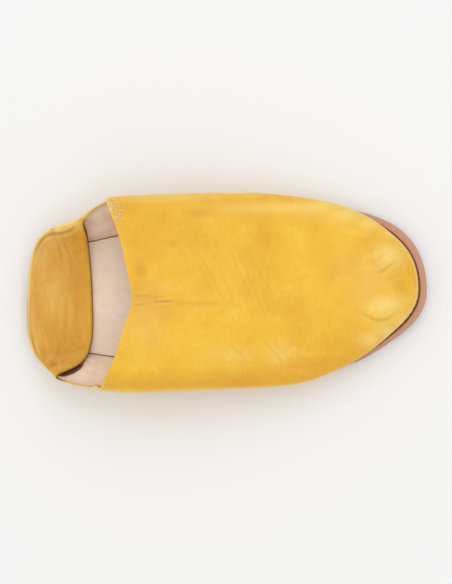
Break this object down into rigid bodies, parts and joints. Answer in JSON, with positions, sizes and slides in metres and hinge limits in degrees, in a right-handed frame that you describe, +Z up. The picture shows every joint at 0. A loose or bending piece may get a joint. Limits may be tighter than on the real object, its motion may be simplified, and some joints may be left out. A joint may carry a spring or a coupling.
{
  "type": "babouche slipper",
  "caption": "Flat leather babouche slipper for the right foot, with a rounded toe, a long vamp cut to a shallow V, and its soft back trodden down inside the heel.",
  "frame": {"origin": "on the floor, under the middle of the shoe's box", "axes": "+X from heel to toe, +Y to the wearer's left, which is the inner side of this right shoe, +Z up"},
  "size_m": [0.267, 0.1298, 0.0633],
  "materials": {
    "sole_leather": "natural, undyed, matt",
    "insole_leather": "undyed pinkish beige, matt",
    "quarter_leather": "yellow dyed, brushed and worn, satin",
    "vamp_leather": "yellow dyed, creased, satin",
    "pale_thread": "waxed linen thread",
    "dark_thread": "waxed brown thread"
  },
  "bodies": {
    "root": {"outsole": "sole_leather", "insole": "insole_leather", "upper_quarter": "quarter_leather", "upper_vamp": "vamp_leather"}
  },
  "joints": []
}
